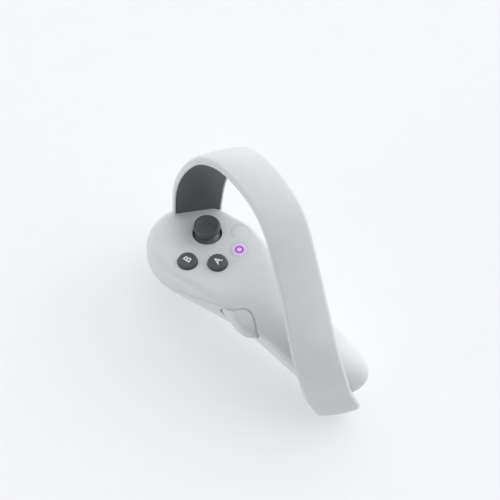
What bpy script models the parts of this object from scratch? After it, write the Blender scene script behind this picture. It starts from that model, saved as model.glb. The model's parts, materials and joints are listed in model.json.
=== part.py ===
"""Right-hand virtual reality motion controller.

Everything is laid out in the face frame: the flat face of the head is the plane z = 0, +X points to
the user's right, +Y forward and +Z out of the face.  Lengths are in millimetres here and become
metres in the meshes.  An empty then tips the whole controller onto its trigger and its butt, and
stands it with the middle of its bounding box over the world origin.
"""

import math

import bpy
import bmesh
from mathutils import Matrix, Vector

MM = 0.001
GAP = 0.3                 # clearance kept between touching pieces
REST_TILT = 13.5          # degrees, front down, when it lies on trigger and butt

# Head and handle
HEAD_X, HEAD_Y = -2.4, 8.2
HEAD_HALF, HEAD_LONG = 28.5, 33.0   # half width and half length of its oval front
RIM_LEFT, RIM_RIGHT = 9.0, 3.5    # rounding of the face's rim, seen from above
SHELL_WALL = 2.0
SEAM_GAP = 0.3
BUTT_NORMAL = Vector((-0.66, -0.7513, 0.0))
BUTT_REACH = 77.5         # distance of the oblique butt face from the frame's origin
BUTT_Y = BUTT_REACH / BUTT_NORMAL.y
BUTT_ROUND = 15.0
SKEW_START_Y = -55.0       # from here the cross rows lean towards the butt face
# station y: middle x, half width
PLAN = [(8.2, -2.4, 28.5), (-5, -1.5, 28.3), (-15.6, -2.2, 26.0), (-25, -2.7, 23.5), (-38, -2.6, 19.9),
        (-50, -2.2, 18.9), (-74, -2.4, 18.2), (-92, -3.6, 16.4), (-118, -7.0, 12.5)]
TOP = [(40, 0.0), (-18, 0.0), (-27, -1.4), (-37, -5.4), (-48, -11.0), (-62, -16.8), (-78, -22.4),
       (-118, -35.0)]
SEAM = [(40, -11.0), (15, -11.0), (5, -10.2), (-6, -8.2), (-14, -6.4), (-24, -5.2), (-31, -6.2),
        (-40, -11.8), (-50, -18.4), (-60, -23.6), (-72, -29.4), (-85, -35.6), (-118, -47.6)]
BOTTOM = [(40, -24.0), (22, -26.0), (5, -29.5), (-10, -34.0), (-25, -39.5), (-45, -46.5),
          (-70, -54.5), (-90, -60.0), (-118, -66.0)]
# how far the rounding has grown from the rim's to the full half width
TOP_ROUND = [(5, 0.0), (-16, 0.06), (-30, 0.5), (-46, 1.0), (-118, 1.0)]
TOP_POWER, LOWER_POWER = 2.2, 1.85

# Controls on the face
STICK = Vector((5.6, 10.1, 0.0))
STICK_PIVOT_Z = -12.0
STICK_DOME_RADIUS = 12.7
STICK_HOLE_RADIUS = 8.5
STICK_CAP_RADIUS = 7.7
BUTTON_RADIUS = 5.6
BUTTON_A = Vector((-7.5, -8.0, 0.0))
BUTTON_B = Vector((-17.0, 5.8, 0.0))
CAPTURE = Vector((17.5, -4.2, 0.0))
HOME = Vector((7.5, -11.5, 0.0))
FLUSH_RADIUS = 5.1
LIGHT_RING_RADIUS = 2.0
BOARD_X, BOARD_Y = -1.8, 3.0
BOARD_TOP = -7.6
BOARD_THICK = 1.2
BOARD_RADIUS = 23.0

# Tracking ring
RING_HALF = 13.3
# share of the ring's length: half width there
RING_WIDTH = [(0.0, 14.3), (0.12, 15.1), (0.22, 14.0), (0.33, 12.7), (0.55, 12.3), (0.85, 13.2),
              (0.95, 12.8), (1.0, 10.0)]
RING_SWELL = 1.2          # how far the outer face is crowned
RING_OUT = 3.0
RING_IN = -2.4
RING_CAVITY_HALF = 11.9
RING_CAVITY_TOP = 0.9
RING_PATH = [(16.2, 26.0, -2.5), (16.2, 25.6, 6.0), (16.4, 23.3, 24.0), (16.6, 17.3, 44.3),
             (17.2, 7.8, 58.6), (16.2, -5.8, 63.4), (11.8, -27.4, 59.3), (6.4, -42.5, 50.5),
             (-2.8, -58.9, 31.0), (-12.2, -73.6, 11.0), (-19.0, -84.6, -6.0), (-20.0, -91.0, -23.0),
             (-16.8, -93.8, -42.0), (-12.6, -97.0, -56.0), (-9.6, -95.4, -63.4), (-5.6, -91.4, -67.0)]
RING_TURN = [(0.0, -41.3), (0.35, -33.0), (0.6, -31.0), (0.85, -40.0), (1.0, -41.3)]

# Trigger and grip lever
TRIGGER_PIN = Vector((-1.0, 24.0, -15.5))
TRIGGER_WIDTH = 16.8
GRIP_CENTRE_Y = -36.0
GRIP_CENTRE_Z = -15.0
GRIP_LENGTH = 22.0
GRIP_HEIGHT = 17.0
GRIP_PROUD = 5.4
GRIP_WALL = 2.0
GRIP_PIN = Vector((-17.9, -28.4, -11.8))

# Power
HANDLE_SLOPE = math.radians(17.0)
CELL_RADIUS = 5.25        # two AAA cells
CELL_LENGTH = 44.5
CELL_SPREAD = 5.6
TRAY_LENGTH = 38.0
TRAY_EDGE_ANGLE = 25.0
BAY_MIDDLE = Vector((-2.3, -54.5, -32.5))
COVER_HALF = 12.2
COVER_FRONT_Y = -34.0
COVER_REAR_Y = -77.0
COVER_LEAN = 1.6          # how far the cover's sloping rear rim reaches back
COVER_FLAT = 0.9          # depth of the flat strip along the middle of the cover

# Fasteners
SCREW_SHAFT = 0.9
SCREW_BORE = 1.2
SCREW_HEAD = 1.8
BOSS_RADIUS = 2.6
BOSSES = [(-16.5, -19.2), (12.5, -19.2)]
BOSS_MEET_Z = -19.0

PLASTIC_WHITE = (0.80, 0.81, 0.82)
PLASTIC_DARK = (0.075, 0.08, 0.085)


def clear_scene():
    """Remove what the start-up file holds."""
    for old in list(bpy.data.objects):
        bpy.data.objects.remove(old, do_unlink=True)


clear_scene()
PARTS = bpy.data.collections.new("vr_motion_controller")
CUTTERS = bpy.data.collections.new("cutters")
bpy.context.scene.collection.children.link(PARTS)
bpy.context.scene.collection.children.link(CUTTERS)
ROOT = bpy.data.objects.new("controller_frame", None)
PARTS.objects.link(ROOT)


# ---------------------------------------------------------------- helpers

def material(name, colour, roughness, metallic=0.0):
    """A Principled material, made once for each name."""
    found = bpy.data.materials.get(name)
    if found:
        return found
    made = bpy.data.materials.new(name)
    made.use_nodes = True
    shader = made.node_tree.nodes["Principled BSDF"]
    shader.inputs["Base Color"].default_value = (*colour, 1.0)
    shader.inputs["Roughness"].default_value = roughness
    shader.inputs["Metallic"].default_value = metallic
    return made


def white():
    return material("pale_plastic", PLASTIC_WHITE, 0.45)


def dark():
    return material("dark_plastic", PLASTIC_DARK, 0.5)


def window():
    return material("infrared_window", (0.06, 0.06, 0.065), 0.3)


def frame_plastic():
    return material("inner_plastic", (0.12, 0.12, 0.13), 0.6)


def steel():
    return material("steel", (0.6, 0.6, 0.62), 0.3, 1.0)


def board_green():
    return material("circuit_board", (0.02, 0.12, 0.06), 0.5)


def glow():
    return material("violet_light", (0.35, 0.05, 0.6), 0.4)


def cell_wrap():
    return material("cell_wrap", (0.1, 0.25, 0.15), 0.4)


def add_object(name, mesh, look, origin=(0.0, 0.0, 0.0), cutter=False):
    """Put a mesh, given in face-frame millimetres, into the scene with its origin where stated."""
    start = Vector(origin)
    mesh.transform(Matrix.Scale(MM, 4) @ Matrix.Translation(-start))
    made = bpy.data.objects.new(name, mesh)
    made.location = start * MM
    made.parent = ROOT
    if cutter:
        CUTTERS.objects.link(made)
        made.hide_render = True
        made.display_type = 'WIRE'
    else:
        PARTS.objects.link(made)
        mesh.materials.append(look)
    return made


def from_bmesh(name, bm, look, origin=(0.0, 0.0, 0.0), cutter=False, smooth_angle=None):
    """Turn a bmesh into an object, with round parts shaded smooth."""
    bmesh.ops.recalc_face_normals(bm, faces=bm.faces)
    mesh = bpy.data.meshes.new(name)
    bm.to_mesh(mesh)
    bm.free()
    made = add_object(name, mesh, look, origin, cutter)
    if smooth_angle:
        made.data.shade_smooth()
        made.data.set_sharp_from_angle(angle=math.radians(smooth_angle))
    return made


def along(direction):
    """Rotation that turns +Z to a direction."""
    return Vector((0, 0, 1)).rotation_difference(Vector(direction)).to_matrix().to_4x4()


def cylinder(name, radius, start, end, look, origin=None, segments=20, cutter=False, tip=None):
    """A round bar, or a cone if tip gives another radius at its end."""
    first, last = Vector(start), Vector(end)
    bm = bmesh.new()
    place = Matrix.Translation((first + last) / 2) @ along(last - first)
    bmesh.ops.create_cone(bm, cap_ends=True, segments=segments, radius1=radius,
                          radius2=radius if tip is None else tip, depth=(last - first).length,
                          matrix=place)
    return from_bmesh(name, bm, look, (first + last) / 2 if origin is None else origin, cutter, 40)


def box(name, size, centre, look, turn=None, origin=None, cutter=False):
    """A block, turned by an optional matrix about its own middle."""
    bm = bmesh.new()
    place = Matrix.Translation(centre) @ (turn or Matrix.Identity(4)) @ Matrix.Diagonal((*size, 1))
    bmesh.ops.create_cube(bm, size=1.0, matrix=place)
    return from_bmesh(name, bm, look, centre if origin is None else origin, cutter)


def turned(name, profile, centre, look, origin=None, steps=24, axis=(0, 0, 1)):
    """A turned piece: profile points are (radius, height), top to bottom down the outer side."""
    mesh = bpy.data.meshes.new(name)
    points = [(radius * MM, 0.0, height * MM) for radius, height in profile]
    closed = profile[0][0] > 0
    edges = [(i, i + 1) for i in range(len(points) - 1)]
    if closed:
        edges.append((len(points) - 1, 0))
    mesh.from_pydata(points, edges, [])
    made = bpy.data.objects.new(name, mesh)
    mesh.materials.append(look)
    PARTS.objects.link(made)
    made.parent = ROOT
    middle = Vector(centre)
    pivot = middle if origin is None else Vector(origin)
    mesh.transform(Matrix.Translation((middle - pivot) * MM))
    made.location = pivot * MM
    made.rotation_euler = along(axis).to_euler()
    screw = made.modifiers.new("turn", 'SCREW')
    screw.steps = steps
    screw.render_steps = steps
    screw.use_merge_vertices = True
    screw.merge_threshold = 0.00001
    screw.use_smooth_shade = True
    return made


def solidify(piece, thickness, offset=-1.0):
    """Give an open surface a wall."""
    wall = piece.modifiers.new("wall", 'SOLIDIFY')
    wall.thickness = thickness * MM
    wall.offset = offset
    wall.use_even_offset = True
    wall.use_quality_normals = True


def bevel(piece, width, segments=2, angle=35):
    """Round the sharp edges."""
    edge = piece.modifiers.new("edge", 'BEVEL')
    edge.width = width * MM
    edge.segments = segments
    edge.limit_method = 'ANGLE'
    edge.angle_limit = math.radians(angle)


def cut(piece, *cutters, operation='DIFFERENCE'):
    """Take cutters out of a piece, or join them to it."""
    for tool in cutters:
        boolean = piece.modifiers.new(tool.name, 'BOOLEAN')
        boolean.operation = operation
        boolean.solver = 'EXACT'
        boolean.object = tool


def read_curve(stations, at, column=1):
    """Smooth value between stations, which run from high y to low y or from 0 up."""
    rows = sorted(stations)
    keys = [row[0] for row in rows]
    values = [row[column] for row in rows]
    if at <= keys[0]:
        return values[0]
    if at >= keys[-1]:
        return values[-1]
    i = max(k for k in range(len(keys) - 1) if keys[k] <= at)

    def slope(k):
        if k == 0 or k == len(keys) - 1:
            return 0.0
        before = (values[k] - values[k - 1]) / (keys[k] - keys[k - 1])
        after = (values[k + 1] - values[k]) / (keys[k + 1] - keys[k])
        return 0.0 if before * after <= 0 else 2 * before * after / (before + after)

    span = keys[i + 1] - keys[i]
    t = (at - keys[i]) / span
    stay = values[i] * (1 + 2 * t) * (1 - t) ** 2 + values[i + 1] * t * t * (3 - 2 * t)
    lean = slope(i) * t * (1 - t) ** 2 - slope(i + 1) * t * t * (1 - t)
    return stay + lean * span


def quarter(share, power=TOP_POWER):
    """Height of a superelliptic quarter round: 0 at its foot, 1 where it has gone flat."""
    inward = 1.0 - min(max(share, 0.0), 1.0)
    return (1.0 - inward ** power) ** (1.0 / power)


# ---------------------------------------------------------------- body surface

def body_row(row_y, grow=0.0):
    """Middle x, half width, skew and end rounding of one cross row of the body."""
    if row_y > HEAD_Y:
        share = (row_y - HEAD_Y) / (HEAD_LONG + grow)
        return HEAD_X, (HEAD_HALF + grow) * math.sqrt(max(1 - share ** 2, 0.0)), 0.0, 1.0
    middle = read_curve(PLAN, row_y, 1)
    half = read_curve(PLAN, row_y, 2) + grow
    full_skew = BUTT_NORMAL.x / BUTT_NORMAL.y
    lean = min(max((SKEW_START_Y - row_y) / (SKEW_START_Y - BUTT_Y), 0.0), 1.0)
    skew = full_skew * lean * lean * (3 - 2 * lean)
    share = min(max((row_y - BUTT_Y) * -BUTT_NORMAL.y + grow, 0.0) / BUTT_ROUND, 1.0)
    corner = BUTT_ROUND * (1 - math.sqrt(1 - (1 - share) ** 2))
    return middle, half - corner, skew, quarter(share)


def body_point(row_y, across, upper, grow=0.0):
    """A point of the body's skin: across runs from -1 at the left seam to 1 at the right seam."""
    middle, half, skew, end = body_row(row_y, grow)
    x = middle + half * across
    y = row_y - skew * x
    seam = read_curve(SEAM, y)
    from_edge = half * (1 - abs(across))
    full = half
    if row_y > HEAD_Y:
        full = HEAD_HALF + grow
        ahead = (row_y - HEAD_Y) / (HEAD_LONG + grow)
        from_edge = full * max(1 - math.hypot(half * across / full, ahead), 0.0)
    if upper:
        rightness = 0.5 + 0.5 * half * across / full
        rim = RIM_LEFT + (RIM_RIGHT - RIM_LEFT) * rightness + min(grow, 0.0)
        width = rim + (full - rim) * read_curve(TOP_ROUND, row_y)
        rise = (read_curve(TOP, y) + grow - seam) * end
    else:
        width = full
        rise = (read_curve(BOTTOM, y) - grow - seam) * end
    power = TOP_POWER if upper else LOWER_POWER
    return Vector((x, y, seam + rise * quarter(from_edge / width, power)))


def row_stations(count_head, count_handle, grow=0.0):
    """Row positions: even in angle round the head, closer together towards the butt."""
    rows = [HEAD_Y + (HEAD_LONG + grow) * math.sin(math.radians(88.0 * (1 - i / count_head)))
            for i in range(count_head)]
    last = BUTT_Y + (0.3 - grow) / -BUTT_NORMAL.y
    for i in range(count_handle + 1):
        rows.append(HEAD_Y + (last - HEAD_Y) * math.sin(i / count_handle * math.pi / 2) ** 1.15)
    return rows


def skin_grid(upper, rows, columns, grow):
    """Rows of points over one half of the body; its first and last rows lie on the seam."""
    stations = row_stations(*rows, grow)
    spread = [-math.cos(math.pi * i / columns) for i in range(columns + 1)]
    nose = [body_point(stations[0], a, upper, grow) for a in spread]
    tail = [body_point(stations[-1], a, upper, grow) for a in spread]
    for point in nose:
        point.y += 0.25
        point.z = read_curve(SEAM, point.y)
    for point in tail:
        point += BUTT_NORMAL * 0.25
        point.z = read_curve(SEAM, point.y)
    return [nose] + [[body_point(y, a, upper, grow) for a in spread] for y in stations] + [tail]


def half_shell(name, upper, rows, columns, look):
    """One half of the casing: an outer and an inner skin, joined by a rim along the seam."""
    shift = Vector((0, 0, SEAM_GAP / 2 * (1 if upper else -1)))
    bm = bmesh.new()
    skins = []
    for grow in (0.0, -SHELL_WALL):
        lines = skin_grid(upper, rows, columns, grow)
        skins.append([[bm.verts.new(point + shift) for point in line] for line in lines])
    for grid in skins:
        for near, far in zip(grid, grid[1:]):
            for i in range(columns):
                bm.faces.new((near[i], near[i + 1], far[i + 1], far[i]))
    outer, inner = [edge_loop(grid) for grid in skins]
    count = len(outer)
    for i in range(count):
        bm.faces.new((outer[i], outer[(i + 1) % count], inner[(i + 1) % count], inner[i]))
    return from_bmesh(name, bm, look, smooth_angle=40)


def edge_loop(grid):
    """The points round the edge of a grid, in order."""
    right = [row[-1] for row in grid[1:-1]]
    left = [row[0] for row in reversed(grid[1:-1])]
    return grid[0] + right + list(reversed(grid[-1])) + left


def body_cutter(name, grow):
    """The whole body as one closed solid, a little larger, for trimming what sits against it."""
    columns = 12
    spread = [-math.cos(math.pi * i / columns) for i in range(columns + 1)]
    bm = bmesh.new()
    loops = []
    for row_y in row_stations(8, 18, grow):
        upper = [body_point(row_y, a, True, grow) for a in spread]
        lower = [body_point(row_y, a, False, grow) for a in reversed(spread[1:-1])]
        loops.append([bm.verts.new(p) for p in upper + lower])
    count = len(loops[0])
    for near, far in zip(loops, loops[1:]):
        for i in range(count):
            bm.faces.new((near[i], near[(i + 1) % count], far[(i + 1) % count], far[i]))
    bm.faces.new(loops[0])
    bm.faces.new(list(reversed(loops[-1])))
    return from_bmesh(name, bm, None, cutter=True)


# ---------------------------------------------------------------- casing

def make_top_shell():
    """Face plate and upper half of the handle, with the openings for the controls."""
    shell = half_shell("top_shell", True, (8, 18), 12, white())
    tools = [cylinder("hole_stick", STICK_HOLE_RADIUS, STICK + Vector((0, 0, -6)),
                      STICK + Vector((0, 0, 5)), None, segments=40, cutter=True)]
    for label, place, radius in (("a", BUTTON_A, BUTTON_RADIUS), ("b", BUTTON_B, BUTTON_RADIUS),
                                 ("capture", CAPTURE, FLUSH_RADIUS), ("home", HOME, FLUSH_RADIUS)):
        tools.append(cylinder(f"hole_{label}", radius + GAP, place + Vector((0, 0, -6)),
                              place + Vector((0, 0, 5)), None, segments=32, cutter=True))
    tools.append(grip_outline_cutter("upper_grip_opening"))
    cut(shell, *[boss_cylinder(f"upper_boss_{i}", x, y, BOSS_MEET_Z, -1.0)
                 for i, (x, y) in enumerate(BOSSES)], operation='UNION')
    for i, (x, y) in enumerate(BOSSES):
        tools.append(cylinder(f"upper_bore_{i}", SCREW_BORE, (x, y, BOSS_MEET_Z - 2), (x, y, -7.0),
                              None, segments=16, cutter=True))
    cut(shell, *tools)
    return shell


def make_bottom_shell():
    """Lower half of head and handle, open for the trigger, the grip lever and the battery cover."""
    shell = half_shell("bottom_shell", False, (8, 18), 12, white())
    slot = box("trigger_slot", (TRIGGER_WIDTH + 1.6, 22.4, 20.0),
               (TRIGGER_PIN.x, TRIGGER_PIN.y - 4.9, -28.0), None, cutter=True)
    grip = grip_outline_cutter("lower_grip_opening")
    cover_y = (COVER_FRONT_Y + COVER_REAR_Y) / 2
    bay_length = COVER_FRONT_Y - COVER_REAR_Y + 3 * GAP + COVER_LEAN
    bay = box("battery_slot", (2 * COVER_HALF + 3 * GAP, bay_length, 36.0),
              (BAY_MIDDLE.x, cover_y - COVER_LEAN / 2, read_curve(BOTTOM, cover_y) + 5.0), None,
              cutter=True)
    cut(shell, *[boss_cylinder(f"lower_boss_{i}", x, y, lower_skin(x, y).z + 1.7, BOSS_MEET_Z - GAP)
                 for i, (x, y) in enumerate(BOSSES)], operation='UNION')
    tools = [slot, grip, bay]
    for i, (x, y) in enumerate(BOSSES):
        seat = screw_seat(x, y)
        tools.append(cylinder(f"head_bore_{i}", SCREW_HEAD + GAP, (x, y, seat), (x, y, seat - 12),
                              None, cutter=True))
        tools.append(cylinder(f"shaft_bore_{i}", SCREW_BORE, (x, y, seat - 1), (x, y, -10), None,
                              segments=16, cutter=True))
    cut(shell, *tools)
    return shell


def boss_cylinder(name, x, y, low, high):
    return cylinder(name, BOSS_RADIUS, (x, y, low), (x, y, high), None, cutter=True)


def screw_seat(x, y):
    """Height at which a casing screw's head sits, sunk into the underside."""
    return lower_skin(x, y).z + 3.5


def make_battery_cover():
    """The cover follows the casing's underside and slides off towards the butt."""
    bm = bmesh.new()
    rows, columns = 10, 8
    grid = []
    for i in range(rows + 1):
        y = COVER_FRONT_Y + (COVER_REAR_Y - COVER_FRONT_Y) * i / rows
        line = []
        for j in range(columns + 1):
            x = BAY_MIDDLE.x + COVER_HALF * (2 * j / columns - 1)
            spot = lower_skin(x, y)
            spot.z = max(spot.z, cover_flat_height(spot.y))
            line.append(bm.verts.new(spot))
        grid.append(line)
    for near, far in zip(grid, grid[1:]):
        for j in range(columns):
            bm.faces.new((near[j], near[j + 1], far[j + 1], far[j]))
    bmesh.ops.recalc_face_normals(bm, faces=bm.faces)
    if bm.faces[:][0].normal.z > 0:
        bmesh.ops.reverse_faces(bm, faces=bm.faces)
    mesh = bpy.data.meshes.new("battery_cover")
    bm.to_mesh(mesh)
    bm.free()
    cover = add_object("battery_cover", mesh, white())
    mesh.shade_smooth()
    solidify(cover, SHELL_WALL)
    return cover


def cover_flat_height(y):
    """Height of the flat strip that runs along the middle of the cover."""
    front, rear = read_curve(BOTTOM, COVER_FRONT_Y), read_curve(BOTTOM, COVER_REAR_Y)
    share = (COVER_FRONT_Y - y) / (COVER_FRONT_Y - COVER_REAR_Y)
    return front + (rear - front) * share + COVER_FLAT


def lower_skin(x, y):
    """The casing's underside above a plan position on the handle."""
    row_y = y
    for _ in range(12):
        middle, half, skew, _end = body_row(row_y)
        row_y = y + skew * x
    across = min(max((x - middle) / half, -1.0), 1.0)
    return body_point(row_y, across, False)


def left_skin_x(y, z):
    """How far left the casing reaches at a place on its side."""
    low, high = -1.0, 0.0
    upper = z > read_curve(SEAM, y)
    for _ in range(24):
        across = (low + high) / 2
        point = body_point(y, across, upper)
        inside = point.z > z if upper else point.z < z
        if inside:
            high = across
        else:
            low = across
    return body_point(y, (low + high) / 2, upper).x


# ---------------------------------------------------------------- tracking ring

def catmull(points, t):
    """A smooth path through points, t from 0 to 1, with equal shares for equal chord lengths."""
    places = [Vector(p) for p in points]
    lengths = [0.0]
    for a, b in zip(places, places[1:]):
        lengths.append(lengths[-1] + (b - a).length)
    reach = t * lengths[-1]
    i = max(k for k in range(len(places) - 1) if lengths[k] <= reach + 1e-9)
    span = lengths[i + 1] - lengths[i]
    u = (reach - lengths[i]) / span

    def slope(k):
        if k == 0:
            return (places[1] - places[0]) / lengths[1]
        if k == len(places) - 1:
            return (places[-1] - places[-2]) / (lengths[-1] - lengths[-2])
        return (places[k + 1] - places[k - 1]) / (lengths[k + 1] - lengths[k - 1])

    a, b = places[i], places[i + 1]
    start, end = slope(i) * span, slope(i + 1) * span
    return (a * (1 + 2 * u) * (1 - u) ** 2 + b * u * u * (3 - 2 * u)
            + start * u * (1 - u) ** 2 - end * u * u * (1 - u))


def ring_frame(t):
    """Middle, width direction (longer where the band is wider) and outward direction."""
    middle = catmull(RING_PATH, t)
    scale = read_curve(RING_WIDTH, t) / RING_HALF
    ahead = (catmull(RING_PATH, min(t + 0.004, 1.0)) - catmull(RING_PATH, max(t - 0.004, 0.0)))
    turn = math.radians(read_curve(RING_TURN, t))
    width = Vector((math.cos(turn), math.sin(turn), 0.0))
    outward = ahead.normalized().cross(width).normalized()
    return middle, width * scale, outward


def sweep(name, section, first, last, steps, look):
    """A section of (across, outward) points carried along the ring's path."""
    bm = bmesh.new()
    loops = []
    for k in range(steps + 1):
        middle, width, outward = ring_frame(first + (last - first) * k / steps)
        loops.append([bm.verts.new(middle + width * x + outward * y) for x, y in section])
    count = len(section)
    for near, far in zip(loops, loops[1:]):
        for i in range(count):
            bm.faces.new((near[i], near[(i + 1) % count], far[(i + 1) % count], far[i]))
    bm.faces.new(loops[0])
    bm.faces.new(list(reversed(loops[-1])))
    return from_bmesh(name, bm, look, smooth_angle=35)


def ring_shell_section():
    """Channel section: crowned outside, open inside for the window."""
    arc = 6
    outer = []
    for i in range(arc + 1):
        x = RING_HALF * (2 * i / arc - 1)
        outer.append((x, RING_OUT - RING_SWELL * (x / RING_HALF) ** 2))
    rim = RING_HALF - 0.5
    return outer + [(rim, RING_IN), (RING_CAVITY_HALF, RING_IN), (RING_CAVITY_HALF, RING_CAVITY_TOP),
                    (-RING_CAVITY_HALF, RING_CAVITY_TOP), (-RING_CAVITY_HALF, RING_IN),
                    (-rim, RING_IN)]


def strip_section(half, low, high):
    return [(-half, low), (half, low), (half, high), (-half, high)]


def make_ring(trim):
    """Band, infrared window, flexible light board and its emitters."""
    shell = sweep("ring_outer_shell", ring_shell_section(), 0.0, 1.0, 44, white())
    cut(shell, trim)
    sweep("ring_inner_window", strip_section(RING_CAVITY_HALF - GAP, RING_IN, RING_IN + 1.2),
          0.035, 0.80, 40, window())
    sweep("ring_light_board", strip_section(4.0, RING_CAVITY_TOP - 0.8, RING_CAVITY_TOP - GAP),
          0.05, 0.79, 32, board_green())
    for number in range(6):
        middle, width, outward = ring_frame(0.12 + 0.125 * number)
        forward = width.normalized().cross(outward)
        turn = Matrix((width.normalized(), forward, outward)).transposed().to_4x4()
        centre = middle + outward * (RING_CAVITY_TOP - 1.1 - 0.45)
        box(f"infrared_emitter_{number + 1}", (3.0, 3.0, 0.7), centre, frame_plastic(), turn)


# ---------------------------------------------------------------- face controls

def make_stick():
    """Cap and stem slide in a dome; the dome rocks in a yoke; the yoke rocks in the module."""
    pivot = STICK + Vector((0, 0, STICK_PIVOT_Z))
    cap = STICK_CAP_RADIUS
    profile = [(0, 6.3), (3.4, 6.5), (5.6, 7.2), (6.6, 7.5), (7.3, 7.1), (cap, 6.2), (cap, 4.6),
               (7.1, 3.7), (5.2, 3.4), (2.0, 3.4), (2.0, -16.5), (0, -16.5)]
    turned("thumbstick_cap", profile, STICK, dark(), origin=pivot)
    dome = []
    outer, inner = STICK_DOME_RADIUS, STICK_DOME_RADIUS - 1.2
    first = math.degrees(math.asin(2.4 / outer))
    for i in range(9):
        angle = math.radians(first + (54 - first) * i / 8)
        dome.append((outer * math.sin(angle), STICK_PIVOT_Z + outer * math.cos(angle)))
    for i in range(9):
        angle = math.radians(54 + (first - 54) * i / 8)
        dome.append((max(inner * math.sin(angle), 2.4), STICK_PIVOT_Z + inner * math.cos(angle)))
    turned("stick_dome", dome, STICK, dark(), origin=pivot)
    yoke = box("stick_yoke", (12.0, 10.0, 2.0), pivot, steel(), origin=pivot)
    eye = box("yoke_eye", (6.4, 6.4, 4.0), pivot, None, cutter=True)
    cut(yoke, eye)
    housing_centre = Vector((STICK.x, STICK.y, -16.2))
    housing = box("stick_module", (17.4, 17.4, 7.0), housing_centre, frame_plastic())
    well = box("module_well", (15.4, 15.4, 7.0), housing_centre + Vector((0, 0, 1.0)), None, cutter=True)
    cut(housing, well)


def make_round_button(name, place, look):
    """A domed button with a flange that the casing holds in."""
    r = BUTTON_RADIUS
    profile = [(0, 2.9), (3.2, 2.7), (4.6, 2.2), (5.3, 1.4), (r, 0.3), (r, -2.4), (r + 1.2, -2.4),
               (r + 1.2, -3.4), (2.0, -3.4), (2.0, -4.0), (0, -4.0)]
    turned(name, profile, place, look)


def make_flush_button(name, place, groove):
    """A flush button; the home button has a groove for its light ring."""
    r = FLUSH_RADIUS
    top = [(0, 0.25)]
    if groove:
        inner, outer = LIGHT_RING_RADIUS - 0.75, LIGHT_RING_RADIUS + 0.75
        top += [(inner, 0.25), (inner, -0.9), (outer, -0.9), (outer, 0.22)]
    profile = top + [(r - 0.5, 0.15), (r, -0.2), (r, -3.2), (r + 0.4, -3.2), (r + 0.4, -3.8),
                     (2.0, -3.8), (2.0, -4.6), (0, -4.6)]
    turned(name, profile, place, white())


def make_light_ring():
    """Thin ring of light set into the home button."""
    inner, outer = LIGHT_RING_RADIUS - 0.45, LIGHT_RING_RADIUS + 0.45
    profile = [(outer, 0.3), (outer, -0.6), (inner, -0.6), (inner, 0.3)]
    turned("home_light_ring", profile, HOME, glow())


def make_board():
    """Main circuit board under the face, with a switch below each button."""
    top = BOARD_TOP
    board = cylinder("main_board", BOARD_RADIUS, (BOARD_X, BOARD_Y, top - BOARD_THICK), (BOARD_X, BOARD_Y, top),
                     board_green(), segments=40)
    gap = box("board_gap", (19.0, 19.0, 6.0), (STICK.x, STICK.y, top), None, cutter=True)
    dome_gap = cylinder("board_dome_gap", 13.2, (STICK.x, STICK.y, top - 3),
                        (STICK.x, STICK.y, top + 3), None, segments=32, cutter=True)
    cut(board, gap, dome_gap)
    for name, place, height in (("a_switch", BUTTON_A, -5.4), ("b_switch", BUTTON_B, -5.4),
                                ("capture_switch", CAPTURE, -5.4), ("home_switch", HOME, -5.4)):
        base = place + Vector((0, 0, top + GAP))
        cylinder(name, 2.6, base, place + Vector((0, 0, height)), steel(), tip=1.8)


# ---------------------------------------------------------------- trigger

def make_trigger():
    """Curved lever on a cross pin, with its torsion spring, bracket, magnet and sensor."""
    px, py, pz = TRIGGER_PIN
    side = [(4.4, 1.0), (5.2, -3.5), (4.8, -8.0), (2.4, -12.5), (0.4, -16.5), (0.6, -19.5),
            (-1.2, -21.6), (-3.8, -21.2), (-6.4, -17.5), (-8.6, -13.5), (-9.4, -10.8), (-7.0, -9.6),
            (-3.6, -8.6), (-3.2, -1.0), (-2.0, 2.7), (1.2, 3.4)]
    outline = [(py + y, pz + z) for y, z in side]
    bm = bmesh.new()
    half = TRIGGER_WIDTH / 2
    left = [bm.verts.new((px - half, y, z)) for y, z in outline]
    face = bm.faces.new(left)
    grown = bmesh.ops.extrude_face_region(bm, geom=[face])
    moved = [v for v in grown["geom"] if isinstance(v, bmesh.types.BMVert)]
    bmesh.ops.translate(bm, verts=moved, vec=(TRIGGER_WIDTH, 0, 0))
    lever = from_bmesh("trigger", bm, white(), origin=TRIGGER_PIN, smooth_angle=50)
    bevel(lever, 1.6, 2, 50)
    bore = cylinder("trigger_bore", 1.4, (px - 12, py, pz), (px + 12, py, pz), None, segments=20,
                    cutter=True)
    notch = box("spring_notch", (5.4, 11.0, 10.0), (px, py, pz + 1.2), None, cutter=True)
    cut(lever, bore, notch)
    cylinder("trigger_pin", 1.05, (px - 10.0, py, pz), (px + 10.0, py, pz), steel(), segments=16)
    coil("trigger_spring", TRIGGER_PIN, Vector((1, 0, 0)), 1.75, 4.0, 5, steel())
    bracket = box("trigger_bracket", (20.4, 7.0, 7.2), (px, py, pz + 1.2), frame_plastic())
    inside = box("bracket_inside", (17.8, 12.0, 7.6), (px, py, pz - 0.1), None, cutter=True)
    pin_hole = cylinder("bracket_bore", 1.35, (px - 14, py, pz), (px + 14, py, pz), None, segments=20,
                        cutter=True)
    cut(bracket, inside, pin_hole)
    return lever


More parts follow.
